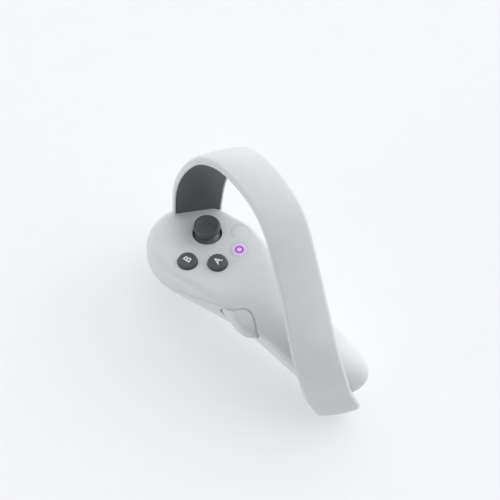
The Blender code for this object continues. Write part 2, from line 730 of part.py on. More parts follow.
def coil(name, centre, axis, radius, length, turns, look):
    """A close coil spring of round wire about an axis."""
    curve = bpy.data.curves.new(name, 'CURVE')
    curve.dimensions = '3D'
    curve.bevel_depth = 0.3 * MM
    curve.bevel_resolution = 0
    curve.use_fill_caps = True
    per_turn = 8
    total = turns * per_turn
    spline = curve.splines.new('POLY')
    spline.points.add(total)
    turn = along(axis)
    for i in range(total + 1):
        angle = 2 * math.pi * i / per_turn
        local = Vector((radius * math.cos(angle), radius * math.sin(angle), length * (i / total - 0.5)))
        place = (turn @ local) * MM
        spline.points[i].co = (*place, 1.0)
    curve.materials.append(look)
    made = bpy.data.objects.new(name, curve)
    made.location = Vector(centre) * MM
    made.parent = ROOT
    PARTS.objects.link(made)
    return made


# ---------------------------------------------------------------- grip lever

def grip_outline(scale):
    """Rounded outline of the grip lever, narrower towards its front tip, as (y, z) points."""
    points = []
    count = 24
    for i in range(count):
        angle = 2 * math.pi * i / count
        along_y = GRIP_LENGTH / 2 * math.cos(angle) * scale
        narrow = 1.0 - 0.42 * max(along_y / (GRIP_LENGTH / 2), 0.0) ** 1.5
        up = GRIP_HEIGHT / 2 * math.copysign(abs(math.sin(angle)) ** 0.85, math.sin(angle)) * scale
        points.append((GRIP_CENTRE_Y + along_y, GRIP_CENTRE_Z + up * narrow + 0.42 * along_y))
    return points


def grip_outline_cutter(name):
    """The opening in the casing's left side for the grip lever."""
    bm = bmesh.new()
    rim = [bm.verts.new((-36.0, y, z)) for y, z in grip_outline(1.09)]
    face = bm.faces.new(rim)
    grown = bmesh.ops.extrude_face_region(bm, geom=[face])
    moved = [v for v in grown["geom"] if isinstance(v, bmesh.types.BMVert)]
    bmesh.ops.translate(bm, verts=moved, vec=(22.0, 0, 0))
    return from_bmesh(name, bm, None, cutter=True)


def make_grip():
    """Squeeze lever that swings on an upright pin at its front end."""
    bm = bmesh.new()
    rings = 5
    wall = Vector((GRIP_WALL, 0, 0))
    middle = Vector((left_skin_x(GRIP_CENTRE_Y, GRIP_CENTRE_Z) - GRIP_PROUD, GRIP_CENTRE_Y, GRIP_CENTRE_Z))
    loops = []
    for ring in range(1, rings + 1):
        share = math.sin(ring / rings * math.pi / 2)
        loop = []
        for y, z in grip_outline(share):
            rearward = min(max((GRIP_CENTRE_Y + GRIP_LENGTH / 2 - y) / GRIP_LENGTH, 0.0), 1.0)
            lift = GRIP_PROUD * math.sqrt(max(1 - share ** 2.6, 0.0)) * math.sin(rearward * 2.2)
            skin = left_skin_x(y, z)
            loop.append(Vector((skin - lift + 0.6 * share ** 4, y, z)))
        loops.append(loop)
    count = len(loops[0])
    rims = []
    for depth in (Vector(), wall):
        centre = bm.verts.new(middle + depth)
        skins = [[bm.verts.new(point + depth) for point in loop] for loop in loops]
        for i in range(count):
            bm.faces.new((centre, skins[0][i], skins[0][(i + 1) % count]))
        for near, far in zip(skins, skins[1:]):
            for i in range(count):
                bm.faces.new((near[i], far[i], far[(i + 1) % count], near[(i + 1) % count]))
        rims.append(skins[-1])
    outer, inner = rims
    for i in range(count):
        bm.faces.new((outer[i], outer[(i + 1) % count], inner[(i + 1) % count], inner[i]))
    lever = from_bmesh("grip_button", bm, white(), origin=GRIP_PIN, smooth_angle=50)
    gx, gy, gz = GRIP_PIN
    outside = left_skin_x(gy, gz) + GRIP_WALL * 0.6
    boss_end = gx + 1.8
    boss = box("grip_boss", (boss_end - outside, 3.2, 4.0), ((boss_end + outside) / 2, gy, gz), None,
               cutter=True)
    bore = cylinder("grip_bore", 1.2, (gx, gy, gz - 6), (gx, gy, gz + 6), None, segments=16,
                    cutter=True)
    cut(lever, boss, operation='UNION')
    cut(lever, bore)
    cylinder("grip_pin", 0.9, (gx, gy, gz - 5.1), (gx, gy, gz + 5.1), steel(), segments=16)
    coil("grip_spring", GRIP_PIN + Vector((0, 0, 2.9)), Vector((0, 0, 1)), 1.5, 0.7, 1, steel())
    bracket = box("grip_bracket", (5.0, 3.2, 10.4), (gx + 0.7, gy, gz), frame_plastic())
    inside = box("grip_bracket_gap", (8.0, 6.0, 7.6), (gx - 1.6, gy, gz), None, cutter=True)
    pin_hole = cylinder("grip_bracket_bore", 1.2, (gx, gy, gz - 12), (gx, gy, gz + 12), None,
                        segments=16, cutter=True)
    cut(bracket, inside, pin_hole)


# ---------------------------------------------------------------- power and feel

def handle_turn():
    """Turns +Y to the handle's own rearward axis, which dips towards the butt."""
    return Matrix.Rotation(HANDLE_SLOPE, 4, 'X')


def make_power():
    """Two cells in a tray, with contact plates and springs, and a vibration motor."""
    axis = handle_turn() @ Vector((0, -1, 0))
    side = Vector((1, 0, 0))
    start = BAY_MIDDLE - axis * CELL_LENGTH / 2
    for label, sign in (("left", -1), ("right", 1)):
        first = start + side * CELL_SPREAD * sign
        cell = cylinder(f"battery_{label}", CELL_RADIUS, first, first + axis * CELL_LENGTH,
                        cell_wrap(), segments=32)
        bevel(cell, 0.6, 1)
        spring_at = first - axis * 1.9
        coil(f"contact_spring_{label}", spring_at, axis, 2.2, 1.9, 3, steel())
    for label, centre in (("front", start - axis * 3.6), ("rear", start + axis * (CELL_LENGTH + 0.7))):
        box(f"contact_plate_{label}", (20.8, 0.6, 8.0), centre, steel(), handle_turn())
    make_tray(start, axis)
    motor_at = Vector((-3.0, -15.5, -24.5))
    cylinder("haptic_motor", 4.4, motor_at - side * 8.5, motor_at + side * 8.5, steel(), segments=28)


def make_tray(start, axis):
    """Trough over the two cells, hung inside the handle."""
    up = handle_turn() @ Vector((0, 0, 1))
    side = Vector((1, 0, 0))
    inner, outer = CELL_RADIUS + GAP, CELL_RADIUS + GAP + 1.0
    section = []
    for radius, turns in ((outer, 1), (inner, -1)):
        meet = math.acos(min(CELL_SPREAD / radius, 1.0))
        low = math.radians(TRAY_EDGE_ANGLE)
        right = [low + (math.pi - meet - low) * i / 8 for i in range(9)]
        left = [meet + (math.pi - low - meet) * i / 8 for i in range(9)]
        arc = [(CELL_SPREAD + radius * math.cos(a), radius * math.sin(a)) for a in right]
        arc += [(-CELL_SPREAD + radius * math.cos(a), radius * math.sin(a)) for a in left[1:]]
        section += arc[::turns]
    bm = bmesh.new()
    first = [bm.verts.new(start + side * x + up * z) for x, z in section]
    last = [bm.verts.new(start + axis * TRAY_LENGTH + side * x + up * z) for x, z in section]
    count = len(section)
    for i in range(count):
        bm.faces.new((first[i], first[(i + 1) % count], last[(i + 1) % count], last[i]))
    bm.faces.new(first)
    bm.faces.new(list(reversed(last)))
    from_bmesh("battery_tray", bm, frame_plastic(), smooth_angle=40)


def screw(name, seat, direction, length):
    """A pan-head screw: the head lies behind its seat and the shaft points along the direction."""
    profile = [(0, length), (SCREW_SHAFT * 0.6, length), (SCREW_SHAFT, length - 0.8),
               (SCREW_SHAFT, 0), (SCREW_HEAD, 0), (SCREW_HEAD, -0.9), (1.1, -1.3), (0.6, -1.3),
               (0, -0.8)]
    made = turned(name, profile, seat, steel(), steps=16, axis=direction)
    return made


def make_fasteners():
    """Two screws close the casing."""
    for i, (x, y) in enumerate(BOSSES):
        seat = screw_seat(x, y)
        screw(f"casing_screw_{i + 1}", Vector((x, y, seat - GAP)), Vector((0, 0, 1)), 11.0)


def stand_on_table():
    """Tip the controller to its resting tilt and centre its box over the origin."""
    ROOT.rotation_euler = (math.radians(-REST_TILT), 0.0, 0.0)
    bpy.context.view_layer.update()
    depsgraph = bpy.context.evaluated_depsgraph_get()
    low = Vector((1e9, 1e9, 1e9))
    high = -low
    for piece in PARTS.objects:
        if piece.type not in {'MESH', 'CURVE'}:
            continue
        shape = piece.evaluated_get(depsgraph)
        mesh = shape.to_mesh()
        for vertex in mesh.vertices:
            place = piece.matrix_world @ vertex.co
            low = Vector(map(min, low, place))
            high = Vector(map(max, high, place))
        shape.to_mesh_clear()
    middle = (low + high) / 2
    ROOT.location = (-middle.x, -middle.y, -low.z)
    bpy.context.view_layer.update()


def main():
    make_top_shell()
    make_bottom_shell()
    make_battery_cover()
    make_ring(body_cutter("body_trim", GAP))
    make_stick()
    make_round_button("a_button", BUTTON_A, dark())
    make_round_button("b_button", BUTTON_B, dark())
    make_flush_button("capture_button", CAPTURE, False)
    make_flush_button("home_button", HOME, True)
    make_light_ring()
    make_board()
    make_trigger()
    make_grip()
    make_power()
    make_fasteners()
    stand_on_table()


main()
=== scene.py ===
"""Looks, light and camera for the right-hand motion controller.

Shapes are laid out in the face frame, in millimetres: the flat face of the head is z = 0, +X points to
the user's right, +Y forward and +Z out of the face.  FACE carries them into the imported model's frame.
"""

import json
import math

import bmesh
import bpy
from mathutils import Matrix, Vector


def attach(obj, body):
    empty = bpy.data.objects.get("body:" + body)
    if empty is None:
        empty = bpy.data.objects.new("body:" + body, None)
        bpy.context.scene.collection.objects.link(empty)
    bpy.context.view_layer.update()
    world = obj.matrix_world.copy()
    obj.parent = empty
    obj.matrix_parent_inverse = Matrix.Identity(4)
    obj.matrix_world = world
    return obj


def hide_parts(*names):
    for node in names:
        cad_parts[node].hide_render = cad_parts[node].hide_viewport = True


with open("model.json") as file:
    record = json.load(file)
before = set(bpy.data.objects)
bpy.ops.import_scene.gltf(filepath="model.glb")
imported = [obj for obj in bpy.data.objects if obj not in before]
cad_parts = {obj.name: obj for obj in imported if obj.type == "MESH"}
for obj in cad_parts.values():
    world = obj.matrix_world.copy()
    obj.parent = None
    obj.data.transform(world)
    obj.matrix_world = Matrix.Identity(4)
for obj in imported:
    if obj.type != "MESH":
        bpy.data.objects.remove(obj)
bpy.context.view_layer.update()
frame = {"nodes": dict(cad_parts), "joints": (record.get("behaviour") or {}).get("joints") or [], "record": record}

MM = 0.001
REST_TILT = 13.5
JOINTS = {joint["name"]: joint for joint in frame["joints"]}

# Head and handle, as in the solid model
HEAD_X, HEAD_Y = -2.4, 8.2
HEAD_HALF, HEAD_LONG = 28.5, 33.0
RIM_LEFT, RIM_RIGHT = 9.0, 3.5
SHELL_WALL = 2.0
SEAM_GAP = 0.3
BUTT_NORMAL = Vector((-0.66, -0.7513, 0.0))
BUTT_REACH = 77.5
BUTT_Y = BUTT_REACH / BUTT_NORMAL.y
BUTT_ROUND = 15.0
SKEW_START_Y = -55.0
PLAN = [(8.2, -2.4, 28.5), (-5, -1.5, 28.3), (-15.6, -2.2, 26.0), (-25, -2.7, 23.5), (-38, -2.6, 19.9),
        (-50, -2.2, 18.9), (-74, -2.4, 18.2), (-92, -3.6, 16.4), (-118, -7.0, 12.5)]
TOP = [(40, 0.0), (-18, 0.0), (-27, -1.4), (-37, -5.4), (-48, -11.0), (-62, -16.8), (-78, -22.4),
       (-118, -35.0)]
SEAM = [(40, -11.0), (15, -11.0), (5, -10.2), (-6, -8.2), (-14, -6.4), (-24, -5.2), (-31, -6.2),
        (-40, -11.8), (-50, -18.4), (-60, -23.6), (-72, -29.4), (-85, -35.6), (-118, -47.6)]
BOTTOM = [(40, -24.0), (22, -26.0), (5, -29.5), (-10, -34.0), (-25, -39.5), (-45, -46.5),
          (-70, -54.5), (-90, -60.0), (-118, -66.0)]
TOP_ROUND = [(5, 0.0), (-16, 0.06), (-30, 0.5), (-46, 1.0), (-118, 1.0)]
TOP_POWER, LOWER_POWER = 2.2, 1.85

# Controls
STICK = Vector((5.6, 10.1, 0.0))
STICK_PIVOT = Vector((5.6, 10.1, -12.0))
STICK_HOLE = 8.5
BUTTON_A = Vector((-7.5, -8.0, 0.0))
BUTTON_B = Vector((-17.0, 5.8, 0.0))
BUTTON_RADIUS = 5.6
CAPTURE = Vector((17.5, -4.2, 0.0))
HOME = Vector((7.5, -11.5, 0.0))
FLUSH_RADIUS = 5.1
LIGHT_RADIUS = 2.0
GAP = 0.3
LETTER_GAP, FLUSH_GAP = 0.24, 0.05

# Ring
RING_HALF = 13.3
RING_WIDTH = [(0.0, 14.3), (0.12, 15.1), (0.22, 14.0), (0.33, 12.7), (0.55, 12.3), (0.85, 13.2),
              (0.95, 12.8), (1.0, 10.0)]
RING_PATH = [(16.2, 26.0, -2.5), (16.2, 25.6, 6.0), (16.4, 23.3, 24.0), (16.6, 17.3, 44.3),
             (17.2, 7.8, 58.6), (16.2, -5.8, 63.4), (11.8, -27.4, 59.3), (6.4, -42.5, 50.5),
             (-2.8, -58.9, 31.0), (-12.2, -73.6, 11.0), (-19.0, -84.6, -6.0), (-20.0, -91.0, -23.0),
             (-16.8, -93.8, -42.0), (-12.6, -97.0, -56.0), (-9.6, -95.4, -63.4), (-5.6, -91.4, -67.0)]
RING_TURN = [(0.0, -41.3), (0.35, -33.0), (0.6, -31.0), (0.85, -40.0), (1.0, -41.3)]
WINDOW_END = 0.80

# Trigger, grip lever and cover
TRIGGER_PIN = Vector((-1.0, 24.0, -15.5))
TRIGGER_WIDTH = 16.8
GRIP_CENTRE_Y, GRIP_CENTRE_Z = -36.0, -15.0
GRIP_LENGTH, GRIP_HEIGHT = 22.0, 17.0
GRIP_PROUD = 5.4
GRIP_TAPER, GRIP_SLOPE = 0.42, 0.42
GRIP_CLEARANCE = 1.06
GRIP_WALL = 2.0
GRIP_PIN = Vector((-17.9, -28.4, -11.8))
BAY_X = -2.3
COVER_HALF = 12.2
COVER_FRONT_Y, COVER_REAR_Y = -34.0, -77.0
COVER_FLAT = 0.9
COVER_LEAN = 1.6
BOSSES = [(-16.5, -19.2), (12.5, -19.2)]
SCREW_HEAD_BORE = 2.1

# Camera, in face-frame millimetres
CAMERA_RIGHT = Vector((0.618, -0.786, 0.0))
CAMERA_UP = Vector((0.629, 0.494, 0.6))
CAMERA_BACK = Vector((-0.472, -0.371, 0.8))
AIM_RIGHT, AIM_UP = 19.6, -1.12
CAMERA_DISTANCE = 900.0
CAMERA_LENS, CAMERA_SENSOR = 115.7, 36.0

# Light, in metres in the world
LIGHT_AIM = (0, 0, 0.04)
FLOOR_HALF = 4.0
FLOOR_DROP = 0.0002
GLOW_LEAST = 0.05
GLOW_FROM = Vector((0.8, 0.12, 0.58))
GLOW_MIDDLE, GLOW_SPREAD = 0.45, 1.15

# Surface finish: roughness, and the grain's frequency, height in metres and strength
PALE_GLOSS = 0.42
GRAIN_SCALE, GRAIN_DEPTH = 2600.0, 0.0002
PALE_GRAIN = 0.12

TURN = Matrix.Rotation(math.radians(-REST_TILT), 4, 'X')
PIVOT_WORLD = Vector(JOINTS["stick_tilt_fore"]["pos_m"])
FACE = Matrix.Translation(PIVOT_WORLD - TURN @ (STICK_PIVOT * MM)) @ TURN


# ---------------------------------------------------------------- camera, light and floor

def make_camera():
    """The camera looks down on the face from the user's left and behind."""
    aim = CAMERA_RIGHT * AIM_RIGHT + CAMERA_UP * AIM_UP
    place = Matrix((CAMERA_RIGHT, CAMERA_UP, CAMERA_BACK)).transposed().to_4x4()
    place.translation = (aim + CAMERA_BACK * CAMERA_DISTANCE) * MM
    data = bpy.data.cameras.new("view")
    data.lens = CAMERA_LENS
    data.sensor_width = CAMERA_SENSOR
    camera = bpy.data.objects.new("view", data)
    camera.matrix_world = FACE @ place
    bpy.context.scene.collection.objects.link(camera)
    bpy.context.scene.camera = camera
    return camera


def area_light(name, place, aim, size, power, colour=(1, 1, 1)):
    data = bpy.data.lights.new(name, 'AREA')
    data.shape = 'DISK'
    data.size = size
    data.energy = power
    data.color = colour
    lamp = bpy.data.objects.new(name, data)
    lamp.location = place
    lamp.rotation_euler = (Vector(aim) - Vector(place)).to_track_quat('-Z', 'Y').to_euler()
    bpy.context.scene.collection.objects.link(lamp)
    return lamp


def make_surround():
    """A wide soft glow from the right and above that fades to dim on the far side."""
    world = bpy.data.worlds.new("surround")
    world.use_nodes = True
    tree = world.node_tree
    shader = tree.nodes["Background"]
    coordinates = tree.nodes.new("ShaderNodeTexCoord")
    facing = tree.nodes.new("ShaderNodeVectorMath")
    facing.operation = 'DOT_PRODUCT'
    facing.inputs[1].default_value = GLOW_FROM.normalized()
    tree.links.new(coordinates.outputs["Generated"], facing.inputs[0])
    level = tree.nodes.new("ShaderNodeMapRange")
    level.inputs["From Min"].default_value = -1.0
    level.inputs["From Max"].default_value = 1.0
    level.inputs["To Min"].default_value = GLOW_MIDDLE - GLOW_SPREAD
    level.inputs["To Max"].default_value = GLOW_MIDDLE + GLOW_SPREAD
    tree.links.new(facing.outputs["Value"], level.inputs["Value"])
    never_black = tree.nodes.new("ShaderNodeMath")
    never_black.operation = 'MAXIMUM'
    never_black.inputs[1].default_value = GLOW_LEAST
    tree.links.new(level.outputs["Result"], never_black.inputs[0])
    tree.links.new(never_black.outputs["Value"], shader.inputs["Strength"])
    shader.inputs["Color"].default_value = (0.975, 0.985, 1.0, 1.0)
    return world


def make_studio():
    """Pale floor, a surround brighter on the right, a weak key from there and a low light from the left."""
    scene = bpy.context.scene
    scene.view_settings.view_transform = 'Standard'
    scene.world = make_surround()
    area_light("key", (2.1, -0.7, 1.9), LIGHT_AIM, 1.8, 9.0)
    area_light("rim", (-1.5, 0.7, 0.3), LIGHT_AIM, 0.5, 6.0)
    bm = bmesh.new()
    bmesh.ops.create_grid(bm, x_segments=2, y_segments=2, size=FLOOR_HALF)
    mesh = bpy.data.meshes.new("floor")
    bm.to_mesh(mesh)
    bm.free()
    floor = bpy.data.objects.new("floor", mesh)
    floor.location.z = -FLOOR_DROP
    scene.collection.objects.link(floor)
    mesh.materials.append(glowing_table())


# ---------------------------------------------------------------- materials

def node(tree, kind, **sockets):
    """Add a shader node and set some of its inputs."""
    made = tree.nodes.new(kind)
    for key, value in sockets.items():
        made.inputs[key.replace("_", " ")].default_value = value
    return made


def start_material(name):
    made = bpy.data.materials.new(name)
    made.use_nodes = True
    tree = made.node_tree
    return made, tree, tree.nodes["Principled BSDF"]


def noise(tree, scale, detail=4.0):
    coordinates = tree.nodes.get("place") or tree.nodes.new("ShaderNodeTexCoord")
    coordinates.name = "place"
    made = node(tree, "ShaderNodeTexNoise", Scale=scale, Detail=detail)
    tree.links.new(coordinates.outputs["Object"], made.inputs["Vector"])
    return made


def add_fine_grain(tree, shader, strength):
    fine = noise(tree, GRAIN_SCALE, 2.0)
    grain = node(tree, "ShaderNodeBump", Strength=strength, Distance=GRAIN_DEPTH)
    tree.links.new(fine.outputs["Fac"], grain.inputs["Height"])
    tree.links.new(grain.outputs["Normal"], shader.inputs["Normal"])


def grained(name, colour, roughness, scale, spread, bump, metallic=0.0):
    """Moulded or brushed surface: slight tone changes, uneven gloss and a fine grain."""
    found = bpy.data.materials.get(name)
    if found:
        return found
    made, tree, shader = start_material(name)
    broad = noise(tree, scale)
    tone = tree.nodes.new("ShaderNodeValToRGB")
    tone.color_ramp.elements[0].position = 0.3
    tone.color_ramp.elements[1].position = 0.7
    tone.color_ramp.elements[0].color = (*[c * (1 - spread) for c in colour], 1)
    tone.color_ramp.elements[1].color = (*[min(c * (1 + spread), 1.0) for c in colour], 1)
    tree.links.new(broad.outputs["Fac"], tone.inputs["Fac"])
    tree.links.new(tone.outputs["Color"], shader.inputs["Base Color"])
    gloss = tree.nodes.new("ShaderNodeMapRange")
    gloss.inputs["To Min"].default_value = roughness - 0.05
    gloss.inputs["To Max"].default_value = roughness + 0.05
    tree.links.new(broad.outputs["Fac"], gloss.inputs["Value"])
    tree.links.new(gloss.outputs["Result"], shader.inputs["Roughness"])
    add_fine_grain(tree, shader, bump)
    shader.inputs["Metallic"].default_value = metallic
    return made


def pale():
    return grained("pale_plastic_look", (0.735, 0.75, 0.765), PALE_GLOSS, 90.0, 0.015, PALE_GRAIN)


def dark_grip():
    return grained("dark_plastic_look", (0.088, 0.093, 0.099), 0.5, 200.0, 0.08, 0.35)


def window_look():
    return grained("window_look", (0.112, 0.117, 0.124), 0.42, 70.0, 0.05, 0.08)


def letter_ink():
    return grained("letter_ink", (0.92, 0.93, 0.94), 0.5, 300.0, 0.03, 0.05)


def glowing_table():
    """Pale sheet that gives off some light itself, which keeps the shadows light."""
    made = grained("table_sheet", (0.52, 0.525, 0.53), 0.85, 60.0, 0.01, 0.02)
    shader = made.node_tree.nodes["Principled BSDF"]
    shader.inputs["Emission Color"].default_value = (0.985, 0.99, 1.0, 1)
    shader.inputs["Emission Strength"].default_value = 0.4
    return made


def plastic_with_painted_glow():
    """Pale plastic with painted glow from the light ring under it: a violet base colour and a faint violet
    emission, both fading outwards from the ring.
    """
    made, tree, shader = start_material("plastic_with_painted_glow")
    coordinates = tree.nodes.new("ShaderNodeTexCoord")
    reach = tree.nodes.new("ShaderNodeVectorMath")
    reach.operation = 'DISTANCE'
    reach.inputs[1].default_value = FACE @ (HOME * MM)
    tree.links.new(coordinates.outputs["Object"], reach.inputs[0])
    share = tree.nodes.new("ShaderNodeMapRange")
    share.inputs["From Min"].default_value = LIGHT_RADIUS * 0.9 * MM
    share.inputs["From Max"].default_value = FLUSH_RADIUS * MM
    tree.links.new(reach.outputs["Value"], share.inputs["Value"])
    # painted glow: the base colour turns violet near the light ring
    glow_colour = tree.nodes.new("ShaderNodeValToRGB")
    glow_colour.color_ramp.elements[0].color = (0.72, 0.56, 0.86, 1)
    glow_colour.color_ramp.elements[1].color = (0.70, 0.70, 0.74, 1)
    tree.links.new(share.outputs["Result"], glow_colour.inputs["Fac"])
    tree.links.new(glow_colour.outputs["Color"], shader.inputs["Base Color"])
    # painted glow: a faint violet emission near the light ring
    painted_glow = tree.nodes.new("ShaderNodeValToRGB")
    painted_glow.color_ramp.elements[0].color = (0.16, 0.08, 0.24, 1)
    painted_glow.color_ramp.elements[1].color = (0.0, 0.0, 0.0, 1)
    tree.links.new(share.outputs["Result"], painted_glow.inputs["Fac"])
    tree.links.new(painted_glow.outputs["Color"], shader.inputs["Emission Color"])
    shader.inputs["Emission Strength"].default_value = 1.0
    add_fine_grain(tree, shader, PALE_GRAIN)
    shader.inputs["Roughness"].default_value = PALE_GLOSS
    return made


def violet_light():
    """The lit ring, a little uneven as behind a diffuser."""
    made, tree, shader = start_material("violet_light_look")
    uneven = noise(tree, 500.0)
    glow_colour = tree.nodes.new("ShaderNodeValToRGB")
    glow_colour.color_ramp.elements[0].color = (0.15, 0.03, 0.26, 1)
    glow_colour.color_ramp.elements[1].color = (0.22, 0.06, 0.36, 1)
    tree.links.new(uneven.outputs["Fac"], glow_colour.inputs["Fac"])
    tree.links.new(glow_colour.outputs["Color"], shader.inputs["Base Color"])
    tree.links.new(glow_colour.outputs["Color"], shader.inputs["Emission Color"])
    shader.inputs["Emission Strength"].default_value = 0.5
    shader.inputs["Roughness"].default_value = 0.35
    return made


# ---------------------------------------------------------------- mesh helpers

def add_piece(name, mesh, look, body=None, stands_for=(), sharp=40.0):
    """Carry a mesh from face-frame millimetres into the model's frame and let it ride on a body."""
    mesh.transform(FACE @ Matrix.Scale(MM, 4))
    made = bpy.data.objects.new(name, mesh)
    bpy.context.scene.collection.objects.link(made)
    mesh.shade_smooth()
    mesh.set_sharp_from_angle(angle=math.radians(sharp))
    if look:
        mesh.materials.clear()
        mesh.materials.append(look)
    if body:
        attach(made, body)
    if stands_for:
        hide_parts(*stands_for)
    return made


def mesh_from(name, bm):
    bmesh.ops.recalc_face_normals(bm, faces=bm.faces)
    mesh = bpy.data.meshes.new(name)
    bm.to_mesh(mesh)
    bm.free()
    return mesh


def carve(mesh, cutters, operation='DIFFERENCE'):
    """Take closed meshes out of a mesh, both still in face-frame millimetres."""
    scene = bpy.context.scene
    piece = bpy.data.objects.new("work", mesh)
    scene.collection.objects.link(piece)
    tools = []
    for cutter in cutters:
        tool = bpy.data.objects.new("tool", cutter)
        scene.collection.objects.link(tool)
        boolean = piece.modifiers.new("cut", 'BOOLEAN')
        boolean.operation = operation
        boolean.solver = 'EXACT'
        boolean.object = tool
        tools.append(tool)
    bpy.context.view_layer.update()
    result = bpy.data.meshes.new_from_object(piece.evaluated_get(bpy.context.evaluated_depsgraph_get()))
    for extra in [piece, *tools]:
        bpy.data.objects.remove(extra, do_unlink=True)
    result.materials.clear()
    return result


def drum(radius, start, end, segments=72):
    """Round cutter between two points."""
    first, last = Vector(start), Vector(end)
    bm = bmesh.new()
    turn = Vector((0, 0, 1)).rotation_difference(last - first).to_matrix().to_4x4()
    bmesh.ops.create_cone(bm, cap_ends=True, segments=segments, radius1=radius, radius2=radius,
                          depth=(last - first).length, matrix=Matrix.Translation((first + last) / 2) @ turn)
    return mesh_from("drum", bm)


def block(size, centre, corner=0.0):
    """Block cutter, with its upright edges rounded if a corner radius is given."""
    bm = bmesh.new()
    bmesh.ops.create_cube(bm, size=1.0, matrix=Matrix.Translation(centre) @ Matrix.Diagonal((*size, 1)))
    if corner:
        upright = [e for e in bm.edges if abs((e.verts[0].co - e.verts[1].co).z) > 0.5 * size[2]]
        bmesh.ops.bevel(bm, geom=upright, offset=corner, segments=8, profile=0.5, affect='EDGES')
    return mesh_from("block", bm)


def rounded(points, closed=False, segments=6):
    """Smooth the corners of a line of (a, b, radius) points."""
    count = len(points)
    result = []
    for i, (a, b, radius) in enumerate(points):
        here = Vector((a, b))
        if radius <= 0 or (not closed and i in (0, count - 1)):
            result.append((a, b))
            continue
        before = Vector(points[i - 1][:2]) - here
        after = Vector(points[(i + 1) % count][:2]) - here
        start = here + before.normalized() * min(radius, before.length / 2)
        end = here + after.normalized() * min(radius, after.length / 2)
        for k in range(segments + 1):
            t = k / segments
            spot = start * (1 - t) ** 2 + here * 2 * t * (1 - t) + end * t * t
            if not result or (Vector(result[-1]) - spot).length > 1e-4:
                result.append((spot.x, spot.y))
    return result


def lathe(name, profile, centre, steps=96, closed=False):
    """Turn a line of (radius, height) points about an upright axis."""
    bm = bmesh.new()
    rings = []
    for radius, height in profile:
        if radius < 1e-4:
            rings.append([bm.verts.new((centre.x, centre.y, centre.z + height))])
            continue
        rings.append([bm.verts.new((centre.x + radius * math.cos(2 * math.pi * i / steps),
                                    centre.y + radius * math.sin(2 * math.pi * i / steps),
                                    centre.z + height)) for i in range(steps)])
    pairs = list(zip(rings, rings[1:]))
    if closed:
        pairs.append((rings[-1], rings[0]))
    for near, far in pairs:
        for i in range(steps):
            j = (i + 1) % steps
            if len(near) == 1:
                bm.faces.new((near[0], far[j], far[i]))
            elif len(far) == 1:
                bm.faces.new((near[i], near[j], far[0]))
            else:
                bm.faces.new((near[i], near[j], far[j], far[i]))
    return mesh_from(name, bm)


def read_curve(stations, at, column=1):
    """Smooth value between stations, which run from high y to low y or from 0 up."""
    rows = sorted(stations)
    keys = [row[0] for row in rows]
    values = [row[column] for row in rows]
    if at <= keys[0]:
        return values[0]
    if at >= keys[-1]:
        return values[-1]
    i = max(k for k in range(len(keys) - 1) if keys[k] <= at)

    def slope(k):
        if k == 0 or k == len(keys) - 1:
            return 0.0
        before = (values[k] - values[k - 1]) / (keys[k] - keys[k - 1])
        after = (values[k + 1] - values[k]) / (keys[k + 1] - keys[k])
        return 0.0 if before * after <= 0 else 2 * before * after / (before + after)

    span = keys[i + 1] - keys[i]
    t = (at - keys[i]) / span
    stay = values[i] * (1 + 2 * t) * (1 - t) ** 2 + values[i + 1] * t * t * (3 - 2 * t)
    lean = slope(i) * t * (1 - t) ** 2 - slope(i + 1) * t * t * (1 - t)
    return stay + lean * span


def catmull(points, t):
    """A smooth path through points, with equal shares of t for equal chord lengths."""
    places = [Vector(p) for p in points]
    lengths = [0.0]
    for a, b in zip(places, places[1:]):
        lengths.append(lengths[-1] + (b - a).length)
    reach = t * lengths[-1]
    i = max(k for k in range(len(places) - 1) if lengths[k] <= reach + 1e-9)
    span = lengths[i + 1] - lengths[i]
    u = (reach - lengths[i]) / span

    def slope(k):
        if k == 0:
            return (places[1] - places[0]) / lengths[1]
        if k == len(places) - 1:
            return (places[-1] - places[-2]) / (lengths[-1] - lengths[-2])
        return (places[k + 1] - places[k - 1]) / (lengths[k + 1] - lengths[k - 1])

    a, b = places[i], places[i + 1]
    start, end = slope(i) * span, slope(i + 1) * span
    return (a * (1 + 2 * u) * (1 - u) ** 2 + b * u * u * (3 - 2 * u)
            + start * u * (1 - u) ** 2 - end * u * u * (1 - u))


# ---------------------------------------------------------------- body surface

def quarter(share, power=TOP_POWER):
    inward = 1.0 - min(max(share, 0.0), 1.0)
    return (1.0 - inward ** power) ** (1.0 / power)


def body_row(row_y, grow=0.0):
    """Middle x, half width, skew and end rounding of one cross row of the body."""
    if row_y > HEAD_Y:
        share = (row_y - HEAD_Y) / (HEAD_LONG + grow)
        return HEAD_X, (HEAD_HALF + grow) * math.sqrt(max(1 - share ** 2, 0.0)), 0.0, 1.0
    middle = read_curve(PLAN, row_y, 1)
    half = read_curve(PLAN, row_y, 2) + grow
    lean = min(max((SKEW_START_Y - row_y) / (SKEW_START_Y - BUTT_Y), 0.0), 1.0)
    skew = BUTT_NORMAL.x / BUTT_NORMAL.y * lean * lean * (3 - 2 * lean)
    share = min(max((row_y - BUTT_Y) * -BUTT_NORMAL.y + grow, 0.0) / BUTT_ROUND, 1.0)
    corner = BUTT_ROUND * (1 - math.sqrt(1 - (1 - share) ** 2))
    return middle, half - corner, skew, quarter(share)


